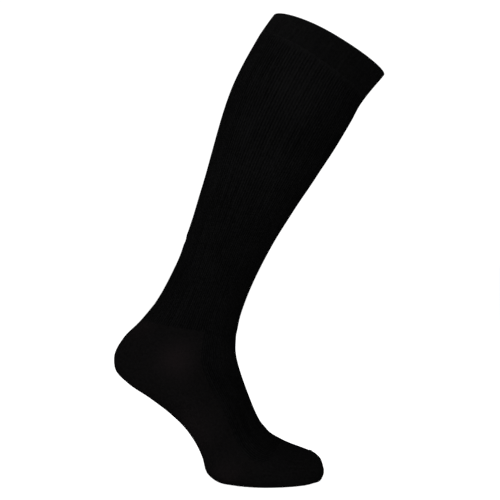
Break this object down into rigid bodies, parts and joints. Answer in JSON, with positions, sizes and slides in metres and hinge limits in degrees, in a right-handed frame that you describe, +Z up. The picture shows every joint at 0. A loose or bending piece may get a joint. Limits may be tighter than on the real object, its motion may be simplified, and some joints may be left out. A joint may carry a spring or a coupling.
{
  "type": "knee-high compression stocking",
  "caption": "Closed-toe knee-high knitted stocking, filled out by an absent leg on tiptoe, with a turned top band, heel pocket and toe pocket.",
  "frame": {"origin": "the middle of the mouth, where the top band grips the leg below the knee", "axes": "+X towards the toes, +Y across the leg, +Z up as it is worn with the ball of the foot on the ground"},
  "size_m": [0.2704, 0.1172, 0.4619],
  "materials": {
    "leg_knit": "black elastic knit with fine lengthwise ribs, matt",
    "band_knit": "black double elastic knit, turned over at the mouth, matt",
    "plain_knit": "black plain knit with a trace of red, matt"
  },
  "bodies": {
    "root": {"top_band": "band_knit", "leg": "leg_knit", "heel_pocket": "plain_knit", "foot": "leg_knit", "toe_pocket": "plain_knit"}
  },
  "joints": []
}
